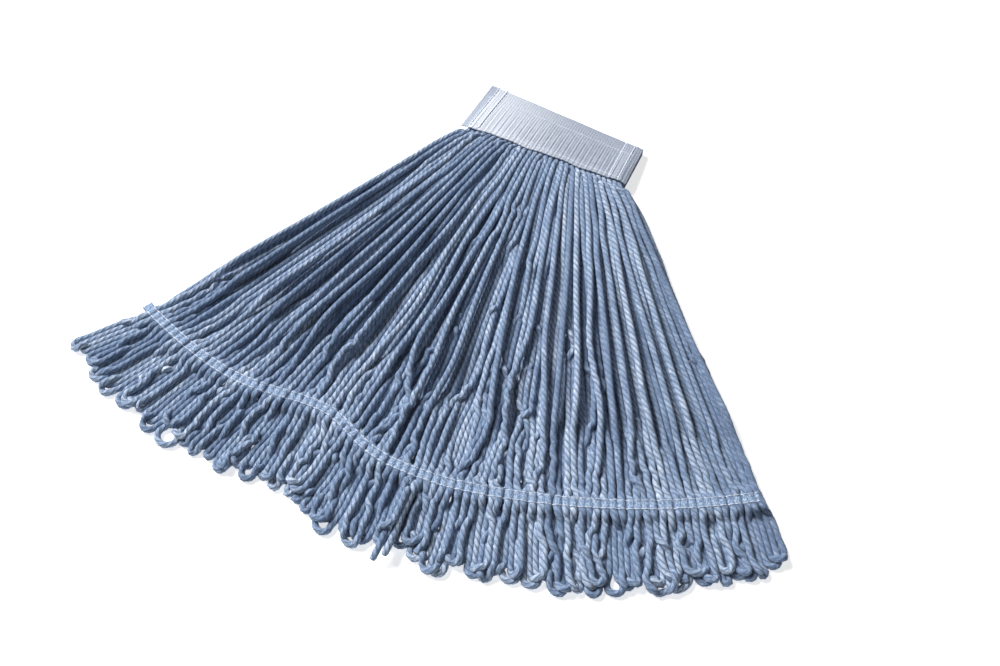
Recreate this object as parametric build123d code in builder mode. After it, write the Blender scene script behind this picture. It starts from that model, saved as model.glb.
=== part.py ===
from build123d import *
import math
import os

# Looped-end string mop head, lying folded and flat. Millimetres, +Z up.
# Origin: the middle of the headband's underside. X runs along the headband,
# and the yarn fans out towards -Y.

# ---- headband: one wide tape folded in half over the middle of the yarn ----
headband_length = 165.0
headband_drop = 61.0
tape_thickness = 1.2
fold_radius = 4.0
mouth_thickness = 14.0
hem_width = 9.0
hem_thickness = 1.0
seam_thread = 1.0
seam_depth = 0.5
mouth_seam_inset = 5.0
upper_seam_inset = 14.0
side_seam_inset = 17.0

# ---- yarn: the legs fan out from the headband's mouth ----
fan_left_deg = -24.5
fan_right_deg = 43.5
leg_left = 341.0
leg_right = 320.0
leg_turn = 0.55
kink_depth = 19.0
kink_share = 0.335
kink_spread_left = 0.11
kink_spread_right = 0.075
yarn_spread = 160.0
yarn_head_thickness = 11.0
yarn_diameter = 5.8
bundles = 8
stations_per_bundle = 2

# ---- tail band: two narrow tapes sewn across the legs of each half ----
band_width = 12.0
band_tape = 0.8
band_yarn = 4.2
band_seam_gap = 6.5
band_seam_thread = 0.9
band_seam_depth = 0.4
tuck_length = 9.0
tuck_overhang = 6.0

# ---- fringe: the looped ends past the tail band ----
fringe_left = 74.0
fringe_right = 62.0
fringe_thickness = 5.5
loose_end_bundle = 4
loose_end_slot = 18.0

# ---- clearances ----
half_gap = 0.3
mouth_gap = 1.0
core_gap = 0.2

# ---- places worked out from the sizes above ----
mouth_y = -headband_drop / 2
fold_y = headband_drop / 2
yarn_mouth_y = mouth_y - mouth_gap
band_thickness = 2 * band_tape + band_yarn
reach = max(leg_left, leg_right)
taper = (yarn_head_thickness - band_thickness) / reach
stations = bundles * stations_per_bundle

os.makedirs("parts", exist_ok=True)


def finish(part, name):
    """Label a finished piece and write it as its own STEP file."""
    part.label = name
    export_step(part, f"parts/{name}.step")


# ---- the fan: a leg leaves the mouth at the share u of the headband's length ----
def leg_length(u):
    """From the mouth to the middle of the tail band.

    The right-hand legs are shorter, and a few left of the middle are drawn in
    to make a kink in the band: a bell curve, steeper on its right.
    """
    plain = leg_left + (leg_right - leg_left) * max(0.0, (u - leg_turn) / (1 - leg_turn))
    spread = kink_spread_left if u < kink_share else kink_spread_right
    return plain - kink_depth * math.exp(-(((u - kink_share) / spread) ** 2))


def fringe_length(u):
    return fringe_left + (fringe_right - fringe_left) * u


def leg_point(u, distance):
    """The place on leg u that lies this far from the mouth."""
    turn = math.radians(fan_left_deg + (fan_right_deg - fan_left_deg) * u)
    x = yarn_spread * (u - 0.5) + distance * math.sin(turn)
    return (x, yarn_mouth_y - distance * math.cos(turn))


def at_mouth(u):
    return 0.0


def at_band(offset):
    """A line across the legs, this far past the middle of the tail band."""
    return lambda u: leg_length(u) + offset


def at_tips(u):
    return leg_length(u) + band_width / 2 + fringe_length(u)


def bundle_shares(number):
    """The shares of the headband's length at which one bundle's outline has its corners."""
    first = number * stations_per_bundle
    return [i / stations for i in range(first, first + stations_per_bundle + 1)]


def fan_outline(shares, near, far):
    """The closed outline between two lines across the fan, over these shares of it."""
    inner = [leg_point(u, near(u)) for u in shares]
    outer = [leg_point(u, far(u)) for u in reversed(shares)]
    return inner + outer


def fan_slab(outline, bottom, top):
    """A flat slab of the fan between two heights."""
    with BuildPart() as slab:
        with BuildSketch(Plane.XY.offset(bottom)):
            with BuildLine():
                Polyline(*outline, close=True)
            make_face()
        extrude(amount=top - bottom)
    return slab.part


def sloping_plane(head_height, slope):
    """A plane at head_height above the mouth line that falls by slope towards the tail."""
    return Plane(origin=(0, yarn_mouth_y, head_height), x_dir=(1, 0, 0), z_dir=(0, -slope, 1))


# ---- the tail band's line, and the height at which it holds the front half up ----
all_shares = [i / stations for i in range(stations + 1)]
band_points = [Vector(*leg_point(u, leg_length(u))) for u in all_shares]
band_length = sum((b - a).length for a, b in zip(band_points, band_points[1:]))
nearest_drop = min(yarn_mouth_y - point.Y for point in band_points) - band_width / 2
front_base = max(band_thickness, yarn_head_thickness - taper * nearest_drop) + half_gap
print("tail band length", round(band_length), "front half starts at", round(front_base, 2))


# ---- headband: the back half, which the front half mirrors ----
half_turn = math.atan2(mouth_thickness / 2 - fold_radius, headband_drop)
meeting_plane = Plane(
    origin=(0, fold_y, fold_radius),
    x_dir=(1, 0, 0),
    z_dir=(0, math.sin(half_turn), math.cos(half_turn)),
)
back_limit = meeting_plane.offset(-half_gap / 2)
bend_y = fold_y - fold_radius
inner_radius = fold_radius - tape_thickness


def headband_seams():
    """Thread sunk flush with the tape: two seams along it and one near each end."""
    lower = mouth_y + mouth_seam_inset
    upper = bend_y - upper_seam_inset
    side = headband_length / 2 - side_seam_inset
    with BuildPart() as seams:
        with BuildSketch():
            with Locations((0, lower), (0, upper)):
                Rectangle(headband_length, seam_thread)
            with Locations((-side, (lower + upper) / 2), (side, (lower + upper) / 2)):
                Rectangle(seam_thread, upper - lower)
        extrude(amount=seam_depth)
    return seams.part


def headband_tape():
    """Flat panel with a quarter round at the fold, and grooves where its seams sink in."""
    with BuildPart() as tape:
        with BuildSketch(Plane.YZ.offset(-headband_length / 2)):
            with BuildLine():
                Line((mouth_y, 0), (bend_y, 0))
                CenterArc((bend_y, fold_radius), fold_radius, -90, 90)
                Line((fold_y, fold_radius), (bend_y + inner_radius, fold_radius))
                CenterArc((bend_y, fold_radius), inner_radius, 0, -90)
                Line((bend_y, tape_thickness), (mouth_y, tape_thickness))
                Line((mouth_y, tape_thickness), (mouth_y, 0))
            make_face()
        extrude(amount=headband_length)
        split(bisect_by=back_limit, keep=Keep.BOTTOM)
        add(headband_seams(), mode=Mode.SUBTRACT)
    return tape.part


def headband_hem(side):
    """The tape's cut end, turned in and laid between the tape and the yarn."""
    centre_x = side * (headband_length - hem_width) / 2
    with BuildPart() as hem:
        with BuildSketch(Plane.XY.offset(tape_thickness)):
            with Locations((centre_x, (mouth_y + bend_y) / 2)):
                Rectangle(hem_width, bend_y - mouth_y)
        extrude(amount=hem_thickness)
    return hem.part


def headband_yarn():
    """The yarn inside the tape: pressed thin at the fold and thicker at the mouth."""
    core_length = headband_length - 2 * (hem_width + core_gap)
    with BuildPart() as yarn:
        with BuildSketch(Plane.YZ.offset(-core_length / 2)):
            with BuildLine():
                Line((mouth_y, tape_thickness), (bend_y, tape_thickness))
                CenterArc((bend_y, fold_radius), inner_radius, -90, 90)
                Line((bend_y + inner_radius, fold_radius), (bend_y, mouth_thickness / 2))
                Line((bend_y, mouth_thickness / 2), (mouth_y, mouth_thickness / 2))
                Line((mouth_y, mouth_thickness / 2), (mouth_y, tape_thickness))
            make_face()
        extrude(amount=core_length)
        split(bisect_by=back_limit, keep=Keep.BOTTOM)
    return yarn.part


headband_pieces = {
    "tape": headband_tape(),
    "seams": headband_seams(),
    "hem_left": headband_hem(-1),
    "hem_right": headband_hem(1),
    "yarn": headband_yarn(),
}
for piece, solid in headband_pieces.items():
    finish(solid, f"headband_back_{piece}")
    finish(mirror(solid, about=meeting_plane), f"headband_front_{piece}")


# ---- yarn bundles: sectors of the fan, thick at the mouth and thin at the tail band ----
def yarn_bundle(number, under, over):
    outline = fan_outline(bundle_shares(number), at_mouth, at_band(-band_width / 2))
    with BuildPart() as bundle:
        add(fan_slab(outline, 0, 2 * yarn_head_thickness + front_base))
        split(bisect_by=over, keep=Keep.BOTTOM)
        split(bisect_by=under, keep=Keep.TOP)
    return bundle.part


def fringe_bundle(number, bottom):
    """The looped ends of one bundle, past the tail band."""
    outline = fan_outline(bundle_shares(number), at_band(band_width / 2), at_tips)
    return fan_slab(outline, bottom, bottom + fringe_thickness)


def loose_end_gap():
    """The straight gap that the loose ends part in the front fringe, along one leg."""
    far = at_tips(loose_share)
    middle_x, middle_y = leg_point(loose_share, far)
    heading = math.radians(fan_left_deg + (fan_right_deg - fan_left_deg) * loose_share)
    across = (math.cos(heading), math.sin(heading), 0)
    with BuildPart() as gap:
        with BuildSketch(Plane(origin=(middle_x, middle_y, front_base), x_dir=across)):
            Rectangle(loose_end_slot, 2 * fringe_left + band_width)
        extrude(amount=fringe_thickness)
    return gap.part


def front_fringe_bundle(number):
    with BuildPart() as fringe:
        add(fringe_bundle(number, front_base))
        if number in (loose_end_bundle - 1, loose_end_bundle):
            add(loose_end_gap(), mode=Mode.SUBTRACT)
    return fringe.part


floor_plane = Plane.XY
back_top = sloping_plane(yarn_head_thickness, taper)
front_bottom = sloping_plane(yarn_head_thickness + half_gap, taper)
front_head = 2 * yarn_head_thickness + half_gap
front_top = sloping_plane(front_head, (front_head - front_base - band_thickness) / reach)
loose_share = loose_end_bundle / bundles
for number in range(bundles):
    finish(yarn_bundle(number, floor_plane, back_top), f"back_yarn_{number + 1}")
    finish(yarn_bundle(number, front_bottom, front_top), f"front_yarn_{number + 1}")
    finish(fringe_bundle(number, 0), f"back_fringe_{number + 1}")
    finish(front_fringe_bundle(number), f"front_fringe_{number + 1}")


# ---- tail bands: pressed yarn between a lower and an upper tape, with two seams ----
def band_strip(near, far, bottom, top):
    return fan_slab(fan_outline(all_shares, at_band(near), at_band(far)), bottom, top)


def band_seams(top):
    """Two lines of thread, sunk flush with the upper tape."""
    reach_out = (band_seam_gap + band_seam_thread) / 2
    reach_in = (band_seam_gap - band_seam_thread) / 2
    with BuildPart() as seams:
        add(band_strip(-reach_out, -reach_in, top - band_seam_depth, top))
        add(band_strip(reach_in, reach_out, top - band_seam_depth, top))
    return seams.part


for half, base in (("back", 0.0), ("front", front_base)):
    edge = band_width / 2
    seams = band_seams(base + band_thickness)
    with BuildPart() as upper_tape:
        add(band_strip(-edge, edge, base + band_tape + band_yarn, base + band_thickness))
        add(seams, mode=Mode.SUBTRACT)
    finish(upper_tape.part, f"{half}_tail_band_upper")
    finish(band_strip(-edge, edge, base, base + band_tape), f"{half}_tail_band_lower")
    finish(band_strip(-edge, edge, base + band_tape, base + band_tape + band_yarn), f"{half}_tail_yarn")
    finish(seams, f"{half}_tail_seams")


# ---- the tail band's left end, folded over on itself past the outermost leg ----
outward = math.radians(180 + fan_left_deg)
tuck_plane = Plane(
    origin=(*leg_point(0, leg_length(0)), front_base),
    x_dir=(math.cos(outward), math.sin(outward), 0),
)
with BuildPart() as tuck:
    with BuildSketch(tuck_plane):
        with Locations((tuck_overhang / 2, 0)):
            Rectangle(tuck_overhang, tuck_length)
    extrude(amount=band_thickness)
finish(tuck.part, "front_tail_tuck")


# ---- two cut yarn ends that lie in the gap, each a limp tube from the band to the tips ----
def beside_leg(share, along, aside, height):
    """A place beside a leg: along it from the tail band's far edge, and off to its right."""
    heading = math.radians(fan_left_deg + (fan_right_deg - fan_left_deg) * share)
    x, y = leg_point(share, leg_length(share) + band_width / 2 + along)
    return (x + aside * math.cos(heading), y + aside * math.sin(heading), height)


def tube(points, diameter):
    """Straight runs joined by arcs as large as the runs allow, with a round section."""
    radii = []
    for before, corner, after in zip(points, points[1:], points[2:]):
        arriving = Vector(corner) - Vector(before)
        leaving = Vector(after) - Vector(corner)
        half_angle = math.radians(arriving.get_angle(leaving)) / 2
        shorter = min(arriving.length, leaving.length)
        radii.append(0.45 * shorter / math.tan(half_angle))
    print("bend radii", [round(radius, 1) for radius in radii])
    with BuildPart() as cord:
        with BuildLine() as route:
            FilletPolyline(*points, radius=radii)
        with BuildSketch(Plane(origin=route.line @ 0, z_dir=route.line % 0)):
            Circle(diameter / 2)
        sweep()
    length = sum(edge.length for edge in route.edges())
    section = math.pi * (diameter / 2) ** 2
    print("tube length", round(length, 1), "volume", round(cord.part.volume))
    print("section times length", round(section * length))
    return cord.part


loose_height = front_base + fringe_thickness / 2
loose_routes = {
    "loose_yarn_end_1": [(0.4, -4.0), (17, -3.5), (35, -5.0), (53, -4.0), (70, -5.5)],
    "loose_yarn_end_2": [(0.8, 3.5), (15, 4.0), (31, 2.5), (48, 3.0), (64, 1.5)],
}
for name, route_points in loose_routes.items():
    points = [beside_leg(loose_share, along, aside, loose_height) for along, aside in route_points]
    finish(tube(points, yarn_diameter), name)
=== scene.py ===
# %% [markdown]
# # A looped-end string mop
#
# A wet mop head as it lies on a table: a wide knitted tape folded over the middle of a few long
# cotton yarns, which fan out in two layers, cross a narrow stitched tail band and turn round in a
# fringe of loops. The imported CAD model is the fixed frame. It gives every place and size here, and
# the pieces made below stand where its plain solids are.

import math

import bpy
import numpy as np
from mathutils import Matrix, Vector


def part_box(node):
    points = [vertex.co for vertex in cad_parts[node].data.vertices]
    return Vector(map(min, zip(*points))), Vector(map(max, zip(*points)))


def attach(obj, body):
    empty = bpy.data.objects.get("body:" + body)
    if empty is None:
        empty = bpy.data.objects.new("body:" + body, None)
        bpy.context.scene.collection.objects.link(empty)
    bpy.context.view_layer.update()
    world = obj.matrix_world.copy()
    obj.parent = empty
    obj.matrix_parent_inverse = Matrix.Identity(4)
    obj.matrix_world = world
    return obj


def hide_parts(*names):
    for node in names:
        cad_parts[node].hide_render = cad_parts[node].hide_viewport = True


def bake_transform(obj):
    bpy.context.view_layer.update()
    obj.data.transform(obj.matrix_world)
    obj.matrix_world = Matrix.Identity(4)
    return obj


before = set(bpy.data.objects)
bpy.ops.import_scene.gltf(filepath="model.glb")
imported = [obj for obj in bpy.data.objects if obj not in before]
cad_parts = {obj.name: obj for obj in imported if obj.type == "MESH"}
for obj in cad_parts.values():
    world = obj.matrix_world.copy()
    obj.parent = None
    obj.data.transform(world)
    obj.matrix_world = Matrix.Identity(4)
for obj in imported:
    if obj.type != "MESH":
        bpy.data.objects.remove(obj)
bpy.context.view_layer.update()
MM = 0.001

# %% [markdown]
# **The camera** looks down at 58 degrees, turned a little to the right of the mop, so that the
# headband is at the top and runs down to the right. A 36 mm lens on a 36 mm sensor is a normal
# view for an object on a table, and it sits 0.86 m from the middle of the fan.

# %% The camera
CAMERA_AZIMUTH = math.radians(27.59)
CAMERA_ELEVATION = math.radians(58.0)
CAMERA_DISTANCE = 0.85661
CAMERA_TARGET = Vector((0.05254, -0.21865, 0.0))

lens = bpy.data.cameras.new("camera")
lens.lens = 36.0
lens.sensor_width = 36.0
camera = bpy.data.objects.new("camera", lens)
toward_camera = Vector((
    math.sin(CAMERA_AZIMUTH) * math.cos(CAMERA_ELEVATION),
    -math.cos(CAMERA_AZIMUTH) * math.cos(CAMERA_ELEVATION),
    math.sin(CAMERA_ELEVATION),
))
camera.location = CAMERA_TARGET + toward_camera * CAMERA_DISTANCE
camera.rotation_euler = (-toward_camera).to_track_quat("-Z", "Y").to_euler()
bpy.context.scene.collection.objects.link(camera)
bpy.context.scene.camera = camera

# %% [markdown]
# **The sizes** are the CAD source's own, in millimetres. What a node's box gives is read from the
# box. The rest is the fan: where a leg of yarn leaves the headband's mouth, which way it points,
# and how long it is down to the tail band.

# %% Sizes in millimetres
tape_low, tape_high = (np.array(corner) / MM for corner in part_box("headband_back_tape"))
front_high = np.array(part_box("headband_front_tape")[1]) / MM
back_band_low, back_band_high = (np.array(corner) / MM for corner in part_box("back_tail_yarn"))
fringe_low, fringe_high = (np.array(corner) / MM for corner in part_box("front_fringe_1"))

HEADBAND_LENGTH = tape_high[0] - tape_low[0]
MOUTH_Y = tape_low[1]
FOLD_Y = tape_high[1]
MOUTH_HEIGHT = front_high[2]
FOLD_RADIUS = 4.0
BEND_Y = FOLD_Y - FOLD_RADIUS
YARN_MOUTH_Y = MOUTH_Y - 1.0
FAN_LEFT_DEG = -24.5
FAN_RIGHT_DEG = 43.5
LEG_LEFT = 341.0
LEG_RIGHT = 320.0
LEG_TURN = 0.55
KINK_DEPTH = 19.0
KINK_SHARE = 0.335
KINK_SPREAD_LEFT = 0.11
KINK_SPREAD_RIGHT = 0.075
YARN_SPREAD = 160.0
YARN_DIAMETER = 5.8
YARN_RADIUS = YARN_DIAMETER / 2
BAND_WIDTH = 12.0
SEAM_GAP = 6.5
FRINGE_LEFT = 74.0
FRINGE_RIGHT = 62.0
print("headband", round(HEADBAND_LENGTH), "mm long, mouth height", round(MOUTH_HEIGHT, 1))


# %% The fan
def heading(u):
    """The angle of leg u from straight down, in radians: it turns evenly from left to right."""
    return np.radians(FAN_LEFT_DEG + (FAN_RIGHT_DEG - FAN_LEFT_DEG) * u)


def leg_length(u):
    """Mouth to tail band: shorter on the right, less a bell curve, steeper on its right."""
    plain = LEG_LEFT + (LEG_RIGHT - LEG_LEFT) * np.maximum(0, (u - LEG_TURN) / (1 - LEG_TURN))
    spread = np.where(u < KINK_SHARE, KINK_SPREAD_LEFT, KINK_SPREAD_RIGHT)
    return plain - KINK_DEPTH * np.exp(-(((u - KINK_SHARE) / spread) ** 2))


def fringe_length(u):
    """Tail band to the tip of a loop: it shortens evenly from left to right."""
    return FRINGE_LEFT + (FRINGE_RIGHT - FRINGE_LEFT) * u


def fan_xy(u, distance):
    """The place this far down leg u: its place at the mouth, plus the distance along its heading."""
    x = YARN_SPREAD * (u - 0.5) + distance * np.sin(heading(u))
    return np.stack([x, YARN_MOUTH_Y - distance * np.cos(heading(u))], axis=-1)


def fan_share(x, y):
    """(u, distance) of a place on the fan, by six Newton steps on x = mouth place + run tan(heading)."""
    run = np.maximum(YARN_MOUTH_Y - y, 0)
    slope = math.radians(FAN_RIGHT_DEG - FAN_LEFT_DEG)
    u = np.full(np.shape(x), 0.5)
    for _ in range(6):
        miss = YARN_SPREAD * (u - 0.5) + run * np.tan(heading(u)) - x
        u = np.clip(u - miss / (YARN_SPREAD + run * slope / np.cos(heading(u)) ** 2), -0.3, 1.3)
    return u, run / np.cos(heading(u))


def beside_leg(u, along, aside):
    """A place past the tail band's far edge: along leg u, and off to its right."""
    x, y = fan_xy(u, leg_length(u) + BAND_WIDTH / 2 + along)
    return x + aside * math.cos(heading(u)), y + aside * math.sin(heading(u))


# %% [markdown]
# **The two loose ends** come first, because they are free cords. The yarns are joined by cutting,
# and here two cut ends hang out of the front fringe. Each is a smooth curve through its route
# beside the middle leg. The strand that stands for it follows points read from that curve.

# %% Routes of the loose ends
LOOSE_SHARE = 0.5
LOOSE_HEIGHT = (fringe_low[2] + fringe_high[2]) / 2
LOOSE_ROUTES = {
    "loose_yarn_end_1": [(0.4, -4.0), (17, -3.5), (35, -5.0), (53, -4.0), (70, -5.5)],
    "loose_yarn_end_2": [(0.8, 3.5), (15, 4.0), (31, 2.5), (48, 3.0), (64, 1.5)],
}


def spline_points(route):
    """Points along the NURBS curve of order 3 that has these places as its control points."""
    curve = bpy.data.curves.new("route", "CURVE")
    curve.dimensions = "3D"
    curve.resolution_u = 12
    spline = curve.splines.new("NURBS")
    spline.points.add(len(route) - 1)
    for point, place in zip(spline.points, route):
        point.co = (*place, 1.0)
    spline.order_u = 3
    spline.use_endpoint_u = True
    holder = bpy.data.objects.new("route", curve)
    bpy.context.scene.collection.objects.link(holder)
    bpy.context.view_layer.update()
    mesh = bpy.data.meshes.new_from_object(holder.evaluated_get(bpy.context.evaluated_depsgraph_get()))
    flat = np.zeros(3 * len(mesh.vertices))
    mesh.vertices.foreach_get("co", flat)
    bpy.data.objects.remove(holder)
    bpy.data.meshes.remove(mesh)
    return flat.reshape(-1, 3)


loose_lines = {
    name: spline_points([(*beside_leg(LOOSE_SHARE, along, aside), LOOSE_HEIGHT) for along, aside in route])
    for name, route in LOOSE_ROUTES.items()
}
for name, line in loose_lines.items():
    print(name, "is", round(np.linalg.norm(np.diff(line, axis=0), axis=1).sum(), 1), "mm long")

# %% [markdown]
# **Where the yarn lies.** One yarn comes out of the headband's mouth, runs down to the tail band,
# turns round in the fringe and comes back, so a front or back half is a row of long hairpins.
# Drawing them one by one looks combed, and Blender's own cloth can't hold a rope's thickness. So
# each hairpin starts as a smooth line on the fan and is then relaxed like a rope: it keeps its
# length and stiffness, is pushed off its neighbours and the floor, and sinks under its weight.
# That gives the crossings, gaps and bundles of real yarn, and takes a few seconds.

# %% Random curves
rng = np.random.default_rng(7)


def catmull_rom(a, b, c, d, f):
    """The cubic from b to c at share f, which leaves b along a to c and meets c along b to d."""
    squared = (2 * a - 5 * b + 4 * c - d) * f**2
    cubed = (3 * b - a - 3 * c + d) * f**3
    return 0.5 * (2 * b + (c - a) * f + squared + cubed)


def smooth_noise(count, length, knots):
    """Random curves from -1 to 1: each a Catmull-Rom cubic through evenly spaced random heights."""
    heights = rng.uniform(-1, 1, (count, knots + 3))
    place = np.linspace(0, knots - 1e-6, length)
    i = place.astype(int)
    f = place - i
    a, b, c, d = (heights[:, i + k] for k in range(4))
    return catmull_rom(a, b, c, d, f)


def ramp(value, start, end):
    """0 before start and 1 after end, by the smoothstep 3t^2 - 2t^3 in between."""
    t = np.clip((value - start) / (end - start), 0, 1)
    return t * t * (3 - 2 * t)


def bell(value, width):
    """A bell curve, 1 at 0."""
    return np.exp(-((value / width) ** 2))


# %% Laying out one half of the mop
HAIRPINS = 44
POINT_STEP = 5.0
INSIDE = 48.0
WAVE_SAMPLES = 200
RELAX_ROUNDS = 200
BACK_BAND_Z = (back_band_low[2] + back_band_high[2]) / 2
FRONT_BAND_Z = 9.6
HALVES = {
    "front": {"low": 9.5, "high": 15.0, "upper": 14.2, "band": FRONT_BAND_Z, "rows": [11.0, 7.9, 9.5],
              "fold": 5.4, "mouth": 9.9, "stagger": 0.0},
    "back": {"low": 2.9, "high": 6.0, "upper": 7.4, "band": BACK_BAND_Z, "rows": [6.2, 2.7, 4.4],
             "fold": 2.6, "mouth": 4.1, "stagger": 0.5},
}


def lay_leg(half, leg, plan):
    """One leg from the fold to the tail band, as (points, pinned, floor under it).

    Its place is fan_xy of a share that eases from the leg's place at the mouth to its place at the
    band, pulled towards its clump in between, plus sideways waves that grow towards the tail. An
    upper leg lies on the others, so its floor is their top, eased to 0 at both ends.
    """
    full = float(leg_length(plan["band_share"][leg]))
    run = full - BAND_WIDTH / 2
    d = np.linspace(-INSIDE, run, int((run + INSIDE) / POINT_STEP))
    t = np.clip(d / full, 0, 1)
    at_mouth, at_band, clump = plan["share"][leg], plan["band_share"][leg], plan["clump"][leg]
    middle = plan["centre"][clump] + plan["shift"][clump] - at_band
    u = at_mouth + (at_band - at_mouth) * t
    u = u + middle * plan["pull"][clump] * np.sin(np.pi * t) ** 1.2 * np.clip(1.5 * t, 0, 1)
    plan_xy = fan_xy(u, np.maximum(d, 0))
    narrowed = YARN_SPREAD * (at_mouth - 0.5) * (1 - 0.11 * ramp(-d, 0, 14))
    plan_xy[d < 0] = np.stack([narrowed, YARN_MOUTH_Y - d], -1)[d < 0]
    aside = np.stack([np.cos(heading(u)), np.sin(heading(u))], -1)
    k = (t * (WAVE_SAMPLES - 1)).astype(int)
    envelope = np.clip(t / 0.25, 0, 1) * np.clip((1 - t) / 0.06, 0, 1)
    middle_loose = 0.45 + 0.9 * np.exp(-(((at_band - 0.55) / 0.25) ** 2))
    tail_loose = 0.35 + np.clip((t - 0.45) / 0.4, 0, 1)
    own = 7.0 if plan["upper"][leg] else 2.5
    wave = 3.5 * plan["group_wave"][clump][k] + own * plan["wave"][leg][k] + 0.6 * plan["ripple"][leg][k]
    plan_xy = plan_xy + aside * (wave * tail_loose * middle_loose * envelope)[:, None]
    at_left = ramp(-YARN_SPREAD * (at_mouth - 0.5), 62, 80)
    row = half["rows"][leg % 3] - (half["band"] / FRONT_BAND_Z) * 3.0 * at_left
    level = half["low"] + (half["high"] - half["low"]) * plan["order"][leg] / (2 * HAIRPINS)
    level = half["upper"] + 1.5 if plan["upper"][leg] else level
    z = row + (level - row) * np.clip(t / 0.12, 0, 1)
    z = z + (half["band"] - z) * np.clip((t - 0.80) / 0.18, 0, 1) + 1.5 * plan["lift"][leg][k] * envelope
    deep = ramp(-d, 0, 12)
    z = z + (half["mouth"] + (half["fold"] - half["mouth"]) * np.clip(-d / INSIDE, 0, 1) - z) * deep
    under_band = np.column_stack([fan_xy(np.full(3, at_band), full + np.array([-2.0, 2.0, 6.0])),
                                  np.full(3, half["band"])])
    points = np.vstack([np.column_stack([plan_xy, z]), under_band])
    pinned = np.append((d < 5.0) | (d > run - 3.0), [True, True, True])
    held_up = half["upper"] * ramp(d, 10, 70) * ramp(run - d, 15, 75) if plan["upper"][leg] else 0 * d
    return points, pinned, np.append(held_up, [0.0, 0.0, 0.0])


def lay_loop(half, first, last, u):
    """The loop that joins two legs past the band: two runs, an arc, a lean, a curl and a half twist."""
    outward = -6 * (1 - ramp(u, 0.0, 0.22)) - 5 * ramp(u, 0.80, 1.0)
    lean = heading(u) + math.radians(rng.normal(0, 4.5) + outward)
    loop_half = rng.choice([3.4, 4.6, 6.5, 9.0], p=[0.22, 0.36, 0.28, 0.14])
    longer = 3 * bell(u - 0.38, 0.08) - 6 * bell(u - 0.51, 0.07)
    longer = longer - 5 * ramp(u, 0.70, 0.95) - 4 * bell(u, 0.08)
    reach = (fringe_length(u) + longer) * rng.uniform(0.82, 1.04) - loop_half - YARN_RADIUS
    out = np.array([math.sin(lean), -math.cos(lean)])
    aside = np.array([math.cos(lean), math.sin(lean)])
    s = np.linspace(0.08, 0.92, 2 * int(reach / POINT_STEP) + 5)
    root = np.linalg.norm(first[:2] - last[:2]) / 2
    along = reach * np.clip(np.minimum(s, 1 - s) / 0.40, 0, 1)
    across = np.where(s < 0.5, -1, 1) * (root + (loop_half - root) * np.clip(along / reach, 0, 1))
    cap = np.clip((s - 0.40) / 0.20, 0, 1)
    in_cap = (s > 0.40) & (s < 0.60)
    along = np.where(in_cap, reach + loop_half * np.sin(np.pi * cap), along)
    across = np.where(in_cap, -loop_half * np.cos(np.pi * cap), across)
    curl = rng.normal(0, 3.0) * np.sin(np.pi * np.minimum(s, 1 - s) * 2)
    curl = curl + rng.normal(0, 1.0) * np.sin(4 * np.pi * s)
    place = (first[:2] + last[:2]) / 2 + out * along[:, None] + aside * (across + curl)[:, None]
    level = half["low"] + rng.uniform(0, 0.55) * (half["high"] - half["low"])
    z = half["band"] + (level - half["band"]) * np.sin(np.pi * s)
    z = z + rng.choice([-1, 1]) * 2.6 * np.sin(2 * np.pi * s)
    return np.column_stack([place, z])


def lay_half(half):
    """All hairpins of one half: lists of their points, pinned flags and floors, and the band shares."""
    legs = 2 * HAIRPINS
    even_share = 0.006 + 0.994 * (np.arange(legs) - half["stagger"]) / (legs - 1)
    clump = np.searchsorted(np.cumsum(rng.uniform(2.5, 8.5, 60)), np.arange(legs))
    clumps = clump.max() + 1
    inner_clump = (np.arange(clumps) > 0) & (np.arange(clumps) < clumps - 1)
    band_share = np.clip(even_share + rng.uniform(-0.16, 0.16, legs) / legs, 0.003, 1.0)
    plan = {
        "share": even_share + rng.uniform(-0.12, 0.12, legs) / legs,
        "band_share": band_share,
        "clump": clump,
        "centre": np.array([band_share[clump == c].mean() for c in range(clumps)]),
        "pull": rng.uniform(0.12, 0.52, clumps) * inner_clump,
        "shift": rng.uniform(-1, 1, clumps) / legs,
        "order": rng.permutation(legs),
        "upper": (np.arange(legs) % 3 == 0) & (rng.random(legs) < 0.9),
        "wave": smooth_noise(legs, WAVE_SAMPLES, 7),
        "ripple": smooth_noise(legs, WAVE_SAMPLES, 16),
        "lift": smooth_noise(legs, WAVE_SAMPLES, 5),
        "group_wave": smooth_noise(clumps, WAVE_SAMPLES, 7),
    }
    ropes, pins, floors = [], [], []
    for left in range(0, legs, 2):
        down, down_pins, down_floor = lay_leg(half, left, plan)
        back, back_pins, back_floor = lay_leg(half, left + 1, plan)
        loop = lay_loop(half, down[-1], back[-1], float(band_share[left:left + 2].mean()))
        ropes.append(np.vstack([down, loop, back[::-1]]))
        pins.append(np.concatenate([down_pins, np.zeros(len(loop), bool), back_pins[::-1]]))
        floors.append(np.concatenate([down_floor, np.zeros(len(loop)), back_floor[::-1]]))
    return ropes, pins, floors, band_share


# %% Even spacing along a line
def even(points, step):
    """Points a step apart, on the straight runs between the given ones."""
    run = np.linalg.norm(np.diff(points, axis=0), axis=1)
    along = np.concatenate([[0], np.cumsum(run)])
    wanted = np.linspace(0, along[-1], max(4, int(round(along[-1] / step)) + 1))
    return np.column_stack([np.interp(wanted, along, points[:, k]) for k in range(3)])


def rounded(points, step):
    """Points about a step apart on the Catmull-Rom curve through the given, evenly spaced ones."""
    length = np.linalg.norm(np.diff(points, axis=0), axis=1).sum()
    count = max(8, int(round(length / step)) + 1)
    padded = np.vstack([2 * points[0] - points[1], points, 2 * points[-1] - points[-2]])
    place = np.linspace(0, len(points) - 1 - 1e-6, count)
    i = place.astype(int)
    f = (place - i)[:, None]
    a, b, c, d = (padded[i + k] for k in range(4))
    return catmull_rom(a, b, c, d, f)


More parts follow.
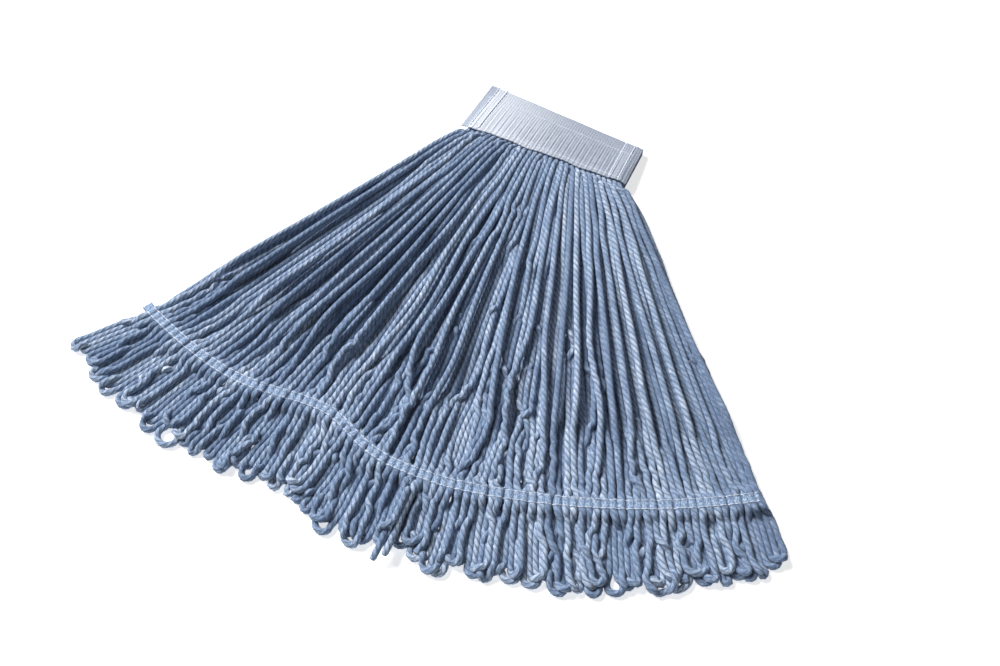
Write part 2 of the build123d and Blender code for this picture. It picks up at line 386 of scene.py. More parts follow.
# %% Neighbours
def neighbour_pairs(p, reach):
    """Every pair of points nearer than reach: points are sorted into square cells in plan, and each
    cell is compared with itself and four of its neighbours."""
    cell = np.floor(p[:, :2] / reach).astype(np.int64)
    cell -= cell.min(0) - 1
    width = cell[:, 1].max() + 2
    key = cell[:, 0] * width + cell[:, 1]
    order = np.argsort(key, kind="stable")
    first, second = [], []
    for dx, dy in ((0, 0), (0, 1), (1, -1), (1, 0), (1, 1)):
        low = np.searchsorted(key[order], key + dx * width + dy, "left")
        many = np.searchsorted(key[order], key + dx * width + dy, "right") - low
        a = np.repeat(np.arange(len(p)), many)
        b = order[np.repeat(low, many) + np.arange(many.sum()) - np.repeat(np.cumsum(many) - many, many)]
        keep = (a < b) | ((dx, dy) != (0, 0))
        first.append(a[keep])
        second.append(b[keep])
    a, b = np.concatenate(first), np.concatenate(second)
    near = ((p[a] - p[b]) ** 2).sum(1) < reach**2
    return a[near], b[near]


# %% Relaxing all ropes together
def relax(ropes, pins, floors, rounds, sink=0.12, squeeze=0.90):
    """Moves every free point in rounds, and returns the ropes as they come to rest.

    Each round lowers the points a little, pulls points 1, 2 and 4 apart back to their first
    distance, which is length and stiffness, and pushes pairs that are nearer than a squeezed yarn
    diameter apart. A move is shared by how free the two points are, then averaged. Last, a point
    moves a little towards the middle of the points 15 mm before and after it, as bent yarn does.
    """
    p = np.vstack(ropes)
    home = p.copy()
    fixed = np.concatenate(pins)
    lowest = np.maximum(np.concatenate(floors), YARN_RADIUS * 0.95)
    free = (~fixed).astype(float)
    rope = np.repeat(np.arange(len(ropes)), [len(r) for r in ropes])
    place = np.concatenate([np.arange(len(r)) for r in ropes])
    springs = []
    for gap, strength in ((1, 1.0), (2, 0.35), (4, 0.15)):
        i = np.arange(len(p) - gap)[rope[:-gap] == rope[gap:]]
        springs.append((i, i + gap, np.linalg.norm(p[i + gap] - p[i], axis=1), strength))
    reach = YARN_DIAMETER * squeeze
    weight = sink * (0.25 + 0.75 * ramp(YARN_MOUTH_Y - p[:, 1], 20, 160))

    bent = np.arange(3, len(p) - 3)[rope[:-6] == rope[6:]]
    u, distance = fan_share(p[:, 0], p[:, 1])
    straighten = 0.12 * ramp(leg_length(u) - distance, -8, 12)

    def share_out(step, hits, i, j, move):
        """Adds a move to point j and its opposite to point i."""
        for k, sign in ((i, -1), (j, 1)):
            for axis in range(3):
                step[:, axis] += np.bincount(k, sign * move[:, axis] * free[k], len(p))
            hits += np.bincount(k, minlength=len(p))

    for turn in range(rounds):
        if turn % 6 == 0:
            a, b = neighbour_pairs(p, reach * 1.35)
            apart = (rope[a] != rope[b]) | (np.abs(place[a] - place[b]) > 3)
            keep = apart & ~(fixed[a] & fixed[b])
            a, b = a[keep], b[keep]
        p[:, 2] -= weight * free
        step, hits = np.zeros_like(p), np.zeros(len(p))
        for i, j, rest, strength in springs:
            gap = p[j] - p[i]
            length = np.linalg.norm(gap, axis=1) + 1e-9
            amount = strength * (rest - length) / length / (free[i] + free[j] + 1e-9)
            share_out(step, hits, i, j, gap * amount[:, None])
        p += 1.6 * step / np.maximum(hits, 1)[:, None]
        gap = p[b] - p[a]
        length = np.linalg.norm(gap, axis=1) + 1e-9
        close = length < reach
        amount = (reach - length[close]) / length[close] / (free[a[close]] + free[b[close]])
        move = gap[close] * amount[:, None] * np.array([0.75, 0.75, 1.0])
        step, hits = np.zeros_like(p), np.zeros(len(p))
        share_out(step, hits, a[close], b[close], move)
        p += step / np.maximum(hits, 1)[:, None] ** 0.75
        middle = (p[bent - 3] + p[bent + 3]) / 2 - p[bent]
        p[bent] += (straighten[bent] * free[bent])[:, None] * middle * np.array([0.15, 0.15, 1.0])
        p[:, 2] = np.maximum(p[:, 2], lowest)
        p = np.where(fixed[:, None], home, p)
    return np.split(p, np.cumsum([len(r) for r in ropes])[:-1])


# %% Lay the yarn
laid, pinned, floors, halves, band_shares = [], [], [], [], {}
for half_name, half in HALVES.items():
    half_ropes, half_pins, half_floors, band_shares[half_name] = lay_half(half)
    for points, fixed, under in zip(half_ropes, half_pins, half_floors):
        spaced = even(points, POINT_STEP)
        nearest = np.linalg.norm(spaced[:, None] - points[None], axis=2).argmin(1)
        laid.append(spaced)
        pinned.append(fixed[nearest])
        floors.append(under[nearest])
        halves.append(half_name)
for line in loose_lines.values():
    laid.append(even(line, POINT_STEP))
    pinned.append(np.ones(len(laid[-1]), bool))
    floors.append(np.zeros(len(laid[-1])))
    halves.append("loose")
settled = relax(laid, pinned, floors, RELAX_ROUNDS)
strands = {name: [p for p, h in zip(settled, halves) if h == name] for name in HALVES}
everything = np.vstack(settled)
print("settled", len(everything), "points; highest", round(everything[:, 2].max(), 1), "mm")

# %% [markdown]
# **Making meshes.** Every new piece is points worked out in numpy as whole arrays, in millimetres.
# One helper writes them into a mesh in metres, with a UV for each corner and any value that the
# material reads per point.


# %% From arrays to a mesh
def make_piece(name, points, faces, corner_uv=None, values=None, material=None):
    """A mesh object from points (n, 3) in mm and a list of (faces, corners) index arrays."""
    corners = np.concatenate([group.ravel() for group in faces]).astype(np.int32)
    sizes = np.concatenate([np.full(len(group), group.shape[1]) for group in faces])
    starts = np.concatenate([[0], np.cumsum(sizes)[:-1]]).astype(np.int32)
    mesh = bpy.data.meshes.new(name)
    mesh.vertices.add(len(points))
    mesh.vertices.foreach_set("co", (points * MM).astype(np.float32).ravel())
    mesh.loops.add(len(corners))
    mesh.loops.foreach_set("vertex_index", corners)
    mesh.polygons.add(len(starts))
    mesh.polygons.foreach_set("loop_start", starts)
    mesh.update(calc_edges=True)
    mesh.validate()
    mesh.polygons.foreach_set("use_smooth", np.ones(len(starts), bool))
    if corner_uv is not None:
        mesh.uv_layers.new(name="surface").data.foreach_set("uv", corner_uv.astype(np.float32).ravel())
    for key, numbers in (values or {}).items():
        mesh.attributes.new(key, "FLOAT", "POINT").data.foreach_set("value", numbers.astype(np.float32))
    if material is not None:
        mesh.materials.append(material)
    piece = bpy.data.objects.new(name, mesh)
    bpy.context.scene.collection.objects.link(piece)
    return piece


def unit(vectors):
    """The vectors at length 1."""
    return vectors / np.maximum(np.linalg.norm(vectors, axis=-1, keepdims=True), 1e-9)


# %% [markdown]
# **Materials** are node trees. One function turns a hex colour into the linear numbers that
# Blender works in, and one adds a node with its settings and links.


# %% Node helpers
def linear(hex_colour):
    """An sRGB hex colour as linear red, green, blue and alpha: the sRGB curve undone."""
    s = np.array([int(hex_colour[i:i + 2], 16) / 255 for i in (1, 3, 5)])
    rgb = np.where(s <= 0.04045, s / 12.92, ((s + 0.055) / 1.055) ** 2.4)
    return (*rgb.tolist(), 1.0)


def add_node(tree, kind, inputs=None, **settings):
    """One node: settings are its properties, and inputs are socket values, or sockets to link from."""
    node = tree.nodes.new(kind)
    for key, value in settings.items():
        setattr(node, key, value)
    for key, value in (inputs or {}).items():
        if isinstance(value, bpy.types.NodeSocket):
            tree.links.new(value, node.inputs[key])
        else:
            node.inputs[key].default_value = value
    return node


def new_material(name):
    """An empty node material, as (material, its tree, its shader node)."""
    material = bpy.data.materials.new(name)
    material.use_nodes = True
    tree = material.node_tree
    tree.nodes.clear()
    shader = add_node(tree, "ShaderNodeBsdfPrincipled")
    add_node(tree, "ShaderNodeOutputMaterial", {"Surface": shader.outputs["BSDF"]})
    return material, tree, shader


def add_ramp(tree, factor, stops):
    """A colour ramp node with these (place, hex colour) stops, read at the factor."""
    node = add_node(tree, "ShaderNodeValToRGB", {"Fac": factor})
    elements = node.color_ramp.elements
    while len(elements) < len(stops):
        elements.new(1.0)
    for element, (place, colour) in zip(elements, stops):
        element.position = place
        element.color = linear(colour)
    return node.outputs["Color"]


def add_maths(tree, operation, a, b=0.0, clamp=False):
    """One sum of two numbers or sockets."""
    return add_node(tree, "ShaderNodeMath", {0: a, 1: b}, operation=operation, use_clamp=clamp).outputs[0]


def add_mix(tree, factor, a, b, blend="MIX"):
    """Two colours mixed by a factor."""
    return add_node(tree, "ShaderNodeMix", {0: factor, 6: a, 7: b}, data_type="RGBA",
                    blend_type=blend).outputs[2]


# %% [markdown]
# ** Cotton yarn, blended, carded and four-ply twisted.** Dyed and bleached fibres are mixed before
# spinning, so each ply shows pale and dark streaks a few millimetres long that run along it. Shade
# in the grooves between plies is painted in, as a darker blue. The surface is matt with a soft fibre
# sheen.
# UV x goes once round the strand and turns with the plies, and UV y is 20 mm along it.

# %% Cotton yarn material
cotton, tree, shader = new_material("heathered_cotton_yarn_spun")
surface = add_node(tree, "ShaderNodeUVMap", uv_map="surface").outputs["UV"]
tone = add_node(tree, "ShaderNodeAttribute", attribute_name="tone").outputs["Fac"]
axes = add_node(tree, "ShaderNodeSeparateXYZ", {"Vector": surface})
# Streaks: about 0.7 mm wide round the strand and 5 mm long.
streak_place = add_node(tree, "ShaderNodeMapping", {"Vector": surface, "Scale": (34.0, 8.0, 1.0)})
streaks = add_node(tree, "ShaderNodeTexNoise",
                   {"Vector": streak_place.outputs[0], "Scale": 1.0, "Detail": 5.0, "Roughness": 0.62},
                   noise_dimensions="2D")
# Slow change of dye along the yarn, about 30 mm long.
slow_place = add_node(tree, "ShaderNodeMapping", {"Vector": surface, "Scale": (1.5, 0.8, 1.0)})
slow = add_node(tree, "ShaderNodeTexNoise", {"Vector": slow_place.outputs[0], "Scale": 1.0, "Detail": 1.0},
                noise_dimensions="2D")
dye = add_maths(tree, "MULTIPLY", slow.outputs["Fac"], 0.30)
level = add_maths(tree, "ADD", streaks.outputs["Fac"], dye)
level = add_maths(tree, "ADD", level, add_maths(tree, "MULTIPLY", tone, 0.10))
fibres = add_ramp(tree, level,
                  [(0.36, "#495c7a"), (0.56, "#7086a6"), (0.72, "#98adc9"), (0.94, "#dfe7f2")])
# Painted shade in the groove between two plies: |sin| of four half turns, sharp at the bottom.
quarter = add_maths(tree, "PINGPONG", add_maths(tree, "MULTIPLY", axes.outputs["X"], 4.0), 0.5)
groove = add_node(tree, "ShaderNodeMapRange", {"Value": quarter, 1: 0.0, 2: 0.26, 3: 0.0, 4: 1.0},
                  interpolation_type="SMOOTHSTEP")
shaded = add_mix(tree, groove.outputs[0], linear("#556b8d"), fibres)
fibre_place = add_node(tree, "ShaderNodeMapping", {"Vector": surface, "Scale": (60.0, 12.0, 1.0)})
fibre_noise = add_node(tree, "ShaderNodeTexNoise",
                       {"Vector": fibre_place.outputs[0], "Scale": 1.0, "Detail": 2.0},
                       noise_dimensions="2D")
bump = add_node(tree, "ShaderNodeBump", {"Height": fibre_noise.outputs["Fac"], "Strength": 0.75,
                                         "Distance": 0.0006})
tree.links.new(shaded, shader.inputs["Base Color"])
tree.links.new(bump.outputs["Normal"], shader.inputs["Normal"])
shader.inputs["Roughness"].default_value = 0.92
shader.inputs["Specular IOR Level"].default_value = 0.15
shader.inputs["Sheen Weight"].default_value = 0.25
shader.inputs["Sheen Roughness"].default_value = 0.6
print("made", cotton.name)

# %% [markdown]
# **A strand** is a profile carried along its line. Four soft plies give a rounded four-lobed
# outline, and the outline turns once in 25 mm, which is the lay of the yarn. The points of the
# outline turn with it, so an edge of the mesh runs along each ply. The strand is pressed flat
# where the tail band is sewn over it and inside the headband.

# %% Strand meshes
RING = 16
RING_STEP = 2.2
OFF_FLOOR = 0.05
LAY = 25.0
around = 2 * np.pi * np.arange(RING) / RING
LOBES = 0.87 + 0.13 * np.abs(np.cos(2 * around)) ** 0.8


def frames(line):
    """(tangent, side, up) along a line: side is level, and up is square to both."""
    tangent = unit(np.gradient(line, axis=0))
    level_side = np.cross(tangent, [0.0, 0.0, 1.0])
    side = unit(level_side + 1e-6)
    return tangent, side, np.cross(side, tangent)


def press(line):
    """(height, width) factors: flat inside the headband, and a little under the tail band."""
    u, distance = fan_share(line[:, 0], line[:, 1])
    under = np.exp(-(((distance - leg_length(u)) / 7.5) ** 4))
    near = np.exp(-(((distance - leg_length(u)) / 16.0) ** 2))
    inside = ramp(line[:, 1], MOUTH_Y - 13, MOUTH_Y + 3)
    deep = np.clip((line[:, 1] - MOUTH_Y) / (BEND_Y - MOUTH_Y), 0, 1)
    height = (1 - 0.23 * under) * (1 - inside * (0.42 + 0.34 * deep))
    return height, (1 + 0.10 * under + 0.16 * near) * (1 - 0.12 * inside)


def strand(line, phase, radius=YARN_RADIUS):
    """Rings of the four-lobed outline along the line, closed by a point at each end."""
    tangent, side, up = frames(line)
    along = np.concatenate([[0], np.cumsum(np.linalg.norm(np.diff(line, axis=0), axis=1))])
    height, width = press(line)
    angle = around[None] + phase + (2 * np.pi * along / LAY)[:, None]
    taper = radius * np.minimum(1, 0.72 + 0.28 * np.minimum(along, along[-1] - along) / 1.5)
    spread = (taper[:, None] * LOBES)[..., None]
    rings = line[:, None] + spread * (
        np.cos(angle)[..., None] * side[:, None] * width[:, None, None]
        + np.sin(angle)[..., None] * up[:, None] * height[:, None, None]
    )
    rings[..., 2] = np.maximum(rings[..., 2], OFF_FLOOR)
    ends = np.stack([line[0] - 0.6 * tangent[0], line[-1] + 0.6 * tangent[-1]])
    count = len(line)
    i, k = np.meshgrid(np.arange(count - 1), np.arange(RING), indexing="ij")
    after = (k + 1) % RING
    quads = np.stack([i * RING + k, (i + 1) * RING + k, (i + 1) * RING + after, i * RING + after], -1)
    across = np.stack([k, k, k + 1, k + 1], -1) / RING
    down = np.stack([along[i], along[i + 1], along[i + 1], along[i]], -1) / 20.0 + 37.0 * phase
    ring = np.arange(RING)
    start = np.stack([np.full(RING, count * RING), ring, (ring + 1) % RING], -1)
    last = (count - 1) * RING
    stop = np.stack([np.full(RING, count * RING + 1), last + (ring + 1) % RING, last + ring], -1)
    tris = np.vstack([start, stop])
    points = np.vstack([rings.reshape(-1, 3), ends])
    uv = np.stack([across, down], -1).reshape(-1, 2)
    return points, quads.reshape(-1, 4), tris, uv


def strand_piece(name, lines, material):
    """One piece of several strands, with a random tone for each."""
    points, quads, tris, quad_uv, tone_values = [], [], [], [], []
    first = 0
    for line in lines:
        p, q, t, uv = strand(line, rng.uniform(0, 2 * np.pi))
        points.append(p)
        quads.append(q + first)
        tris.append(t + first)
        quad_uv.append(uv)
        tone_values.append(np.full(len(p), rng.uniform(-1, 1)))
        first += len(p)
    tri_uv = np.zeros((3 * sum(len(t) for t in tris), 2))
    return make_piece(name, np.vstack(points), [np.vstack(quads), np.vstack(tris)],
                      np.vstack(quad_uv + [tri_uv]), {"tone": np.concatenate(tone_values)}, material)


# %% The yarn of both halves
BUNDLES = 8
for half_name, ropes in strands.items():
    lines = [rounded(rope, RING_STEP) for rope in ropes]
    for number, share in enumerate(np.array_split(np.arange(len(lines)), BUNDLES), 1):
        piece = strand_piece(f"{half_name}_strands_{number}", [lines[k] for k in share], cotton)
        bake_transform(piece)
        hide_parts(f"{half_name}_yarn_{number}", f"{half_name}_fringe_{number}")
    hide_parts(f"{half_name}_tail_yarn", f"headband_{half_name}_yarn")
    print(half_name, "yarn:", sum(len(line) for line in lines), "rings")

# %% The loose ends
for name, line in loose_lines.items():
    centre = rounded(even(line, POINT_STEP), RING_STEP)
    piece = strand_piece(f"{name}_strand", [centre], cotton)
    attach(piece, "front_skirt")
    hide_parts(name)

# %% [markdown]
# ** Knitted headband tape, warp-knitted polyester with a tight selvedge.** It is near white, with
# wales that run down the mop about 2.6 mm apart. Small gaps open between the wales, in dashes
# about 1.5 mm apart, and the yarn shows through them, painted as a dark blue-grey: the yarn's
# blue with painted shade. Towards the fold and in the 9 mm selvedge the knit is tight and the
# gaps close. The cloth also has painted shade, a darker grey mixed in by a shade value. UV is in
# units of 10 mm: x runs along the headband, and y across the tape from one mouth edge to the other.

# %% Knitted tape material
knit, tree, shader = new_material("knitted_polyester_tape")
surface = add_node(tree, "ShaderNodeUVMap", uv_map="surface").outputs["UV"]
axes = add_node(tree, "ShaderNodeSeparateXYZ", {"Vector": surface})
openness = add_node(tree, "ShaderNodeAttribute", attribute_name="openness").outputs["Fac"]
WALE_PITCH = 2.6
COURSE_PITCH = 1.5
wobble = add_node(tree, "ShaderNodeTexNoise", {"Vector": surface, "Scale": 1.6, "Detail": 2.0},
                  noise_dimensions="2D").outputs["Fac"]
wale_phase = add_maths(tree, "ADD",
                       add_maths(tree, "MULTIPLY", axes.outputs["X"], 20 * math.pi / WALE_PITCH),
                       add_maths(tree, "MULTIPLY", wobble, 1.2))
course_phase = add_maths(tree, "ADD",
                         add_maths(tree, "MULTIPLY", axes.outputs["Y"], 20 * math.pi / COURSE_PITCH),
                         add_maths(tree, "MULTIPLY", wobble, 5.0))
wale = add_maths(tree, "SINE", wale_phase)
course = add_maths(tree, "SINE", course_phase)
gap = add_node(tree, "ShaderNodeMapRange", {"Value": wale, 1: 0.15, 2: 0.95, 3: 0.0, 4: 1.0},
               interpolation_type="SMOOTHSTEP").outputs[0]
dash = add_node(tree, "ShaderNodeMapRange", {"Value": course, 1: -0.8, 2: 0.6, 3: 0.35, 4: 1.0}).outputs[0]
patchy = add_node(tree, "ShaderNodeMapRange",
                  {"Value": wobble, 1: 0.30, 2: 0.62, 3: 0.35, 4: 1.0}).outputs[0]
hole = add_maths(tree, "MULTIPLY", add_maths(tree, "MULTIPLY", gap, dash),
                 add_maths(tree, "MULTIPLY", openness, patchy), clamp=True)
threads = add_node(tree, "ShaderNodeTexNoise", {"Vector": surface, "Scale": 9.0, "Detail": 3.0},
                   noise_dimensions="2D").outputs["Fac"]
pale = add_ramp(tree, threads, [(0.25, "#b3bac8"), (0.5, "#c8cdd8"), (0.8, "#e2e5eb")])
# Painted shade: the same cloth in a darker grey, mixed in by the shade value.
painted_shade_cloth = add_ramp(tree, threads, [(0.25, "#7c8597"), (0.5, "#939cac"), (0.8, "#b4bbc8")])
shade = add_node(tree, "ShaderNodeAttribute", attribute_name="shade").outputs["Fac"]
# Painted shade in the gaps: a dark blue-grey where the yarn shows through, darker than the yarn.
cloth = add_mix(tree, hole, add_mix(tree, shade, pale, painted_shade_cloth), linear("#56627a"))
relief = add_maths(tree, "SUBTRACT", add_maths(tree, "MULTIPLY", course, 0.25),
                   add_maths(tree, "MULTIPLY", gap, 1.0))
relief = add_maths(tree, "ADD", relief, add_maths(tree, "MULTIPLY", threads, 0.7))
bump = add_node(tree, "ShaderNodeBump", {"Height": relief, "Strength": 0.5, "Distance": 0.0005})
tree.links.new(cloth, shader.inputs["Base Color"])
tree.links.new(bump.outputs["Normal"], shader.inputs["Normal"])
shader.inputs["Roughness"].default_value = 0.85
shader.inputs["Specular IOR Level"].default_value = 0.25
shader.inputs["Sheen Weight"].default_value = 0.15
print("made", knit.name)


# %% Closed sheets
def closed_sheet(name, outer, inner, uv, values, material):
    """A thin closed sheet from two grids (n, m, 3): both faces, and a rim that joins their edges.

    The faces are turned if the volume, the sum of each corner dotted with its face's area over 3,
    comes out negative.
    """
    n, m = outer.shape[:2]
    index = np.arange(n * m).reshape(n, m)
    quads = np.stack([index[:-1, :-1], index[1:, :-1], index[1:, 1:], index[:-1, 1:]], -1).reshape(-1, 4)
    edge = np.concatenate([index[:-1, 0], index[-1, :-1], index[:0:-1, -1], index[0, :0:-1]])
    after = np.roll(edge, -1)
    rim = np.stack([after, edge, edge + n * m, after + n * m], -1)
    faces = np.vstack([quads, quads[:, ::-1] + n * m, rim])
    points = np.vstack([outer.reshape(-1, 3), inner.reshape(-1, 3)])
    a, b, c, d = (points[faces[:, k]] for k in range(4))
    if (a * np.cross(c - a, d - b)).sum() < 0:
        faces = faces[:, ::-1]
    both = np.vstack([uv.reshape(-1, 2), uv.reshape(-1, 2)])
    doubled = {key: np.concatenate([v.ravel(), v.ravel()]) for key, v in values.items()}
    return make_piece(name, points, [faces], both[faces.ravel()], doubled, material)


# %% [markdown]
# **The headband** is one flat strip of that tape, folded in half over the yarn and sewn shut. The
# surface is its profile, from the back mouth edge round the fold to the front mouth edge, carried
# along x. The front half is the back half mirrored in a tilted plane, as in the CAD. The cloth is
# pulled in along its seams, swells a little between them, rises over the turned-in ends, and its
# left end is pinched down, where the seam holds both layers together.

# %% The headband's profile
TAPE = 1.1
tilt = math.atan2(MOUTH_HEIGHT / 2 - FOLD_RADIUS, FOLD_Y - MOUTH_Y)
FLAT_RUN = BEND_Y - MOUTH_Y
HALF_RUN = FLAT_RUN + FOLD_RADIUS * math.pi / 2
MIRROR = np.array([math.sin(tilt), math.cos(tilt)])


def headband_surface(x, run, lift):
    """Places on the tape at x and at this run from the back mouth edge, raised off it by lift.

    Flat at height 0, then a quarter circle to the fold. Past the fold the same curve is mirrored in
    the plane through the fold that splits the wedge.
    """
    q = np.minimum(run, 2 * HALF_RUN - run)
    turn = np.clip((q - FLAT_RUN) / FOLD_RADIUS, 0, math.pi / 2)
    y = np.where(q < FLAT_RUN, MOUTH_Y + q, BEND_Y + FOLD_RADIUS * np.sin(turn)) + lift * np.sin(turn)
    z = FOLD_RADIUS * (1 - np.cos(turn)) - lift * np.cos(turn)
    off = (y - FOLD_Y) * MIRROR[0] + (z - FOLD_RADIUS) * MIRROR[1]
    front = run > HALF_RUN
    y = np.where(front, y - 2 * off * MIRROR[0], y)
    z = np.where(front, z - 2 * off * MIRROR[1], z)
    return np.stack([x + 0 * y, y, z], -1)


# %% The headband's cloth
# The tape is folded a little askew: how far its corners are from a plain rectangle's, left and
# right, in x, y and z.
FOLD_SKEW = ((-4.8, -2.0), (4.0, -5.5), (1.0, 0.0))
MOUTH_SKEW = ((-5.9, 1.5), (-1.4, 2.1), (0.0, 0.0))
SEAM_LOW = 5.0
SEAM_HIGH = FLAT_RUN - 14.0
END_SEAMS = (8.0, 17.5)


def headband_lift(x, run):
    """How far the cloth stands off the plain profile, in mm: seams, swelling, yarn and ends."""
    q = np.minimum(run, 2 * HALF_RUN - run)
    from_end = HEADBAND_LENGTH / 2 - np.abs(x)
    seam = bell(q - SEAM_LOW, 1.3) + 0.35 * bell(q - SEAM_HIGH, 1.6) * (from_end > END_SEAMS[1])
    ends = bell(from_end - END_SEAMS[0], 1.0) + bell(from_end - END_SEAMS[1], 1.0) * (x > 0)
    swell = 0.45 * np.sin(np.pi * np.clip((q - SEAM_LOW) / (SEAM_HIGH - SEAM_LOW), 0, 1)) ** 0.6
    ridges = 0.22 * np.cos(2 * np.pi * x / 4.4 + 1.3 * np.sin(x / 17)) * ramp(SEAM_HIGH - q, 0, 25)
    slow = 0.30 * np.sin(x / 21.0 + 1.0) * np.sin(q / 19.0) + 0.16 * np.sin(x / 7.3) * np.cos(q / 11.0)
    hem = 0.5 * ramp(9.5 - from_end, 0, 1.2) + 0.35 * ramp(18.5 - from_end, 0, 1.5) * (x > 0)
    return swell + ridges + slow + hem - 0.5 * seam - 0.6 * ends


def headband_grid(columns, rows, inset):
    """The tape's surface on a grid, moved in by inset, with the back kept on the floor."""
    x = np.linspace(-HEADBAND_LENGTH / 2, HEADBAND_LENGTH / 2, columns)[:, None]
    run = np.linspace(0, 2 * HALF_RUN, rows)[None]
    lift = headband_lift(x, run)
    front = ramp(run, HALF_RUN - 2, HALF_RUN + 4)
    lift = np.where(run > HALF_RUN, lift, np.minimum(lift, 0) * 0.4 + 0.15 * lift)
    places = headband_surface(x + 0 * run, run + 0 * x, lift - inset)
    from_left = x + HEADBAND_LENGTH / 2
    near_mouth = 0.35 + 0.65 * ramp(run, HALF_RUN, 2 * HALF_RUN)
    places[..., 2] -= front * near_mouth * 4.2 * ramp(13.0 - from_left, 0, 13.0)
    places[..., 2] -= front * near_mouth * 1.6 * ramp(HEADBAND_LENGTH - from_left, 8.0, 0.0)
    right = np.clip(x / HEADBAND_LENGTH + 0.5, 0, 1)
    to_fold = np.clip(1 - np.abs(run - HALF_RUN) / HALF_RUN, 0, 1)
    to_front = np.clip((run - HALF_RUN) / HALF_RUN, 0, 1)
    for k, (fold_skew, mouth_skew) in enumerate(zip(FOLD_SKEW, MOUTH_SKEW)):
        at_fold = fold_skew[0] + (fold_skew[1] - fold_skew[0]) * right
        at_mouth = mouth_skew[0] + (mouth_skew[1] - mouth_skew[0]) * right
        places[..., k] += at_fold * to_fold + at_mouth * to_front
    wave = 0.7 * np.sin(x / 9.0) + 0.5 * np.sin(x / 4.1 + 2.0)
    places[..., 1] += front * wave * ramp(run, 2 * HALF_RUN - 12, 2 * HALF_RUN) * 0.8
    places[..., 2] = np.maximum(places[..., 2], np.where(inset > 0, 0.05 + inset, 0.05))
    return x + 0 * run, run + 0 * x, places


x, run, outer = headband_grid(220, 150, 0.0)
inner = headband_grid(220, 150, TAPE)[2]
q = np.minimum(run, 2 * HALF_RUN - run)
from_end = HEADBAND_LENGTH / 2 - np.abs(x)
from_left = x + HEADBAND_LENGTH / 2
openness = ramp(q, 6.5, 11) * (1 - 0.6 * ramp(q, FLAT_RUN - 22, FLAT_RUN - 4))
# The gaps close over the first 70 mm from the left end. This is partly the tighter knit near that end and
# partly painted light: fewer dark gaps make that end paler, as a side turned to the light would be.
openness = openness * (0.15 + 0.85 * ramp(from_left, 15, 70))
openness = openness * (0.3 + 0.7 * ramp(HEADBAND_LENGTH - from_left, 12, 24))
# Painted shade: darker towards the right end, which is turned from the light, a little darker towards the
# fold, and in the 8 mm end strips, most at the curled-down left end.
shade = 0.75 * ramp(from_left, 5, 120) + 0.15 * ramp(q, FLAT_RUN - 18, FLAT_RUN)
shade = shade + ramp(8.0 - from_end, 0, 2.0) * np.where(x < 0, 0.85, 0.35)
headband = closed_sheet("headband_tape_folded", outer, inner, np.stack([x, run], -1) / 10.0,
                        {"openness": openness, "shade": shade}, knit)
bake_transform(headband)
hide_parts("headband_back_tape", "headband_front_tape")
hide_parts("headband_back_hem_left", "headband_back_hem_right")
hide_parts("headband_front_hem_left", "headband_front_hem_right")
print("headband tape", round(HEADBAND_LENGTH), "by", round(2 * HALF_RUN), "mm before folding")

# %% [markdown]
# **Polyester sewing thread, twisted and slightly glossy.** It is white, so it catches the light
# and reads as a fine bright line. Each seam is a row of stitches: a tube along the seam that
# stands proud in the middle of a stitch and dips into the cloth between stitches.

# %% Sewing thread material
thread, tree, shader = new_material("polyester_sewing_thread")
place = add_node(tree, "ShaderNodeTexCoord").outputs["Object"]
# Fibres finer than the thread itself, 0.4 mm, drawn as a slight change of white.
speckle = add_node(tree, "ShaderNodeTexNoise",
                   {"Vector": place, "Scale": 1500.0, "Detail": 2.0}).outputs["Fac"]
white = add_ramp(tree, speckle, [(0.3, "#c3d2e6"), (0.7, "#f1f5fb")])
bump = add_node(tree, "ShaderNodeBump", {"Height": speckle, "Strength": 0.3, "Distance": 0.0002})
tree.links.new(white, shader.inputs["Base Color"])
tree.links.new(bump.outputs["Normal"], shader.inputs["Normal"])
shader.inputs["Roughness"].default_value = 0.55
shader.inputs["Sheen Weight"].default_value = 0.1


# %% Rows of stitches
def stitches(line, normal, pitch, radius):
    """A six-sided tube along a line on the cloth: height and radius follow |sin| once a stitch."""
    run = np.concatenate([[0], np.cumsum(np.linalg.norm(np.diff(line, axis=0), axis=1))])
    count = max(12, int(run[-1] / pitch) * 6)
    wanted = np.linspace(0, run[-1], count + 1)
    centre = np.column_stack([np.interp(wanted, run, line[:, k]) for k in range(3)])
    up = unit(np.column_stack([np.interp(wanted, run, normal[:, k]) for k in range(3)]))
    pulse = np.abs(np.sin(np.pi * np.arange(count + 1) / 6))
    centre = centre + up * (radius * (0.8 * pulse - 0.1))[:, None]
    side = unit(np.cross(np.gradient(centre, axis=0), up))
    angle = 2 * np.pi * np.arange(6) / 6
    size = radius * (0.6 + 0.4 * pulse)
    rings = centre[:, None] + size[:, None, None] * (
        np.cos(angle)[None, :, None] * side[:, None] + np.sin(angle)[None, :, None] * up[:, None])
    rings[..., 2] = np.maximum(rings[..., 2], 0.02)
    i, k = np.meshgrid(np.arange(count), np.arange(6), indexing="ij")
    after = (k + 1) % 6
    quads = np.stack([i * 6 + k, (i + 1) * 6 + k, (i + 1) * 6 + after, i * 6 + after], -1).reshape(-1, 4)
    caps = np.array([[0, 1, 2, 3, 4, 5], [5, 4, 3, 2, 1, 0]]) + np.array([[0], [6 * count]])
    return rings.reshape(-1, 3), quads, caps


def stitch_piece(name, rows, pitch, radius):
    """One piece of several rows of stitches; each row is (line, normal)."""
    points, quads, caps, first = [], [], [], 0
    for line, normal in rows:
        p, q, c = stitches(line, normal, pitch, radius)
        points.append(p)
        quads.append(q + first)
        caps.append(c + first)
        first += len(p)
    return make_piece(name, np.vstack(points), [np.vstack(quads), np.vstack(caps)], None, None, thread)


